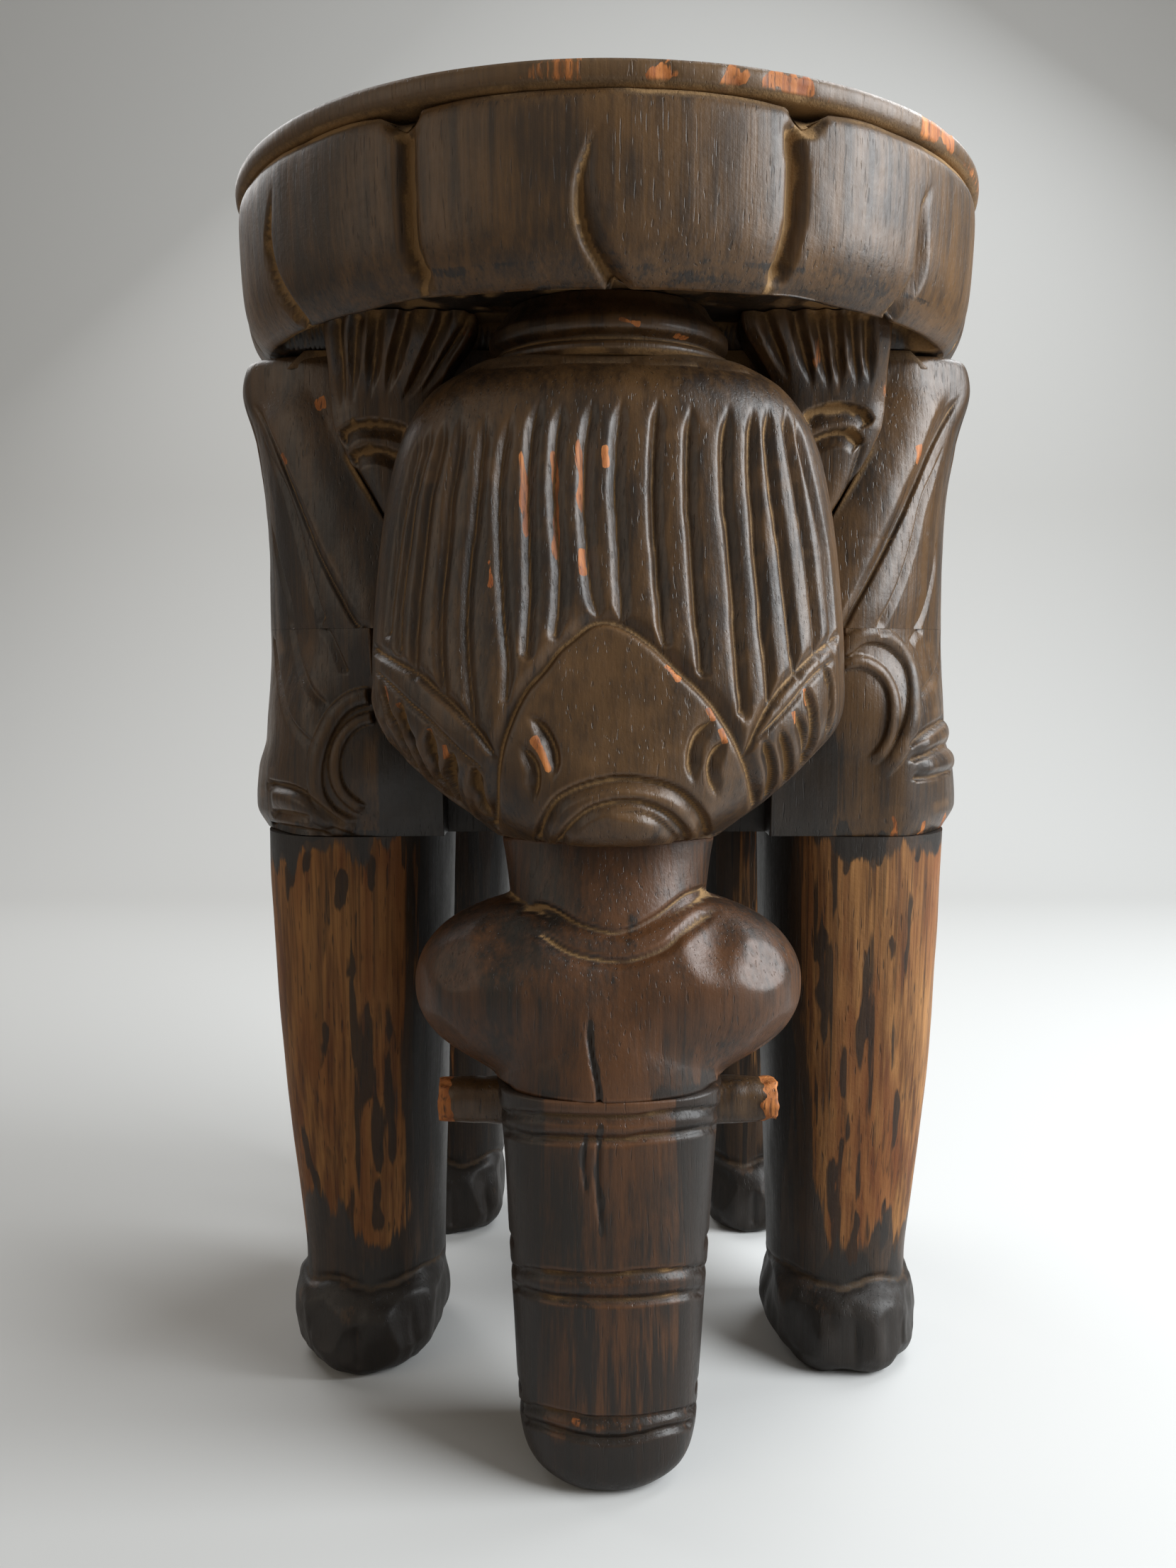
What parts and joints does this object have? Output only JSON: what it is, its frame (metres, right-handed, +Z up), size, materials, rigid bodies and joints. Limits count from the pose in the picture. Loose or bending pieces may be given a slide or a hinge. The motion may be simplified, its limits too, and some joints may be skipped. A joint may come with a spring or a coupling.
{
  "type": "elephant stool",
  "caption": "Carved wooden stool in the shape of a standing elephant, with a round petalled seat on its back, big ears, a pleated head cloth and a ringed trunk that reaches the floor.",
  "frame": {"origin": "where the seat's vertical axis meets the floor", "axes": "+Z up, the elephant's head and trunk look along -Y, +X is on the viewer's right when facing the head"},
  "size_m": [0.288, 0.288, 0.45],
  "materials": {
    "dark_stain": "satin wax over a dark brown stain, dusty tan in the cuts",
    "seat_stain": "satin wax over a dark brown stain, worn at the rim",
    "warm_stain": "satin, warmer brown where the stain is thin",
    "worn_wood": "stain worn through to orange tan wood with black streaks",
    "dowel_wood": "bare turned dowel"
  },
  "bodies": {
    "root": {"body": "dark_stain", "collar": "dark_stain", "ear_dowel_left": "dowel_wood", "ear_dowel_right": "dowel_wood", "ear_left": "dark_stain", "ear_right": "dark_stain", "face": "warm_stain", "face_dowel": "dowel_wood", "head": "dark_stain", "head_dowel_left": "dowel_wood", "head_dowel_right": "dowel_wood", "leg_dowel_front_left": "dowel_wood", "leg_dowel_front_right": "dowel_wood", "leg_dowel_rear_left": "dowel_wood", "leg_dowel_rear_right": "dowel_wood", "leg_front_left": "worn_wood", "leg_front_right": "worn_wood", "leg_rear_left": "worn_wood", "leg_rear_right": "worn_wood", "neck_dowel": "dowel_wood", "seat_board": "seat_stain", "seat_dowel_front_left": "dowel_wood", "seat_dowel_front_right": "dowel_wood", "seat_dowel_rear_left": "dowel_wood", "seat_dowel_rear_right": "dowel_wood", "seat_drum": "seat_stain", "shoulder_dowel_left": "dowel_wood", "shoulder_dowel_right": "dowel_wood", "shoulder_left": "dark_stain", "shoulder_right": "dark_stain", "tail": "dark_stain", "tassel_left": "dark_stain", "tassel_right": "dark_stain", "trunk": "warm_stain", "trunk_dowel": "dowel_wood", "tusk_left": "dark_stain", "tusk_right": "dark_stain"}
  },
  "joints": []
}
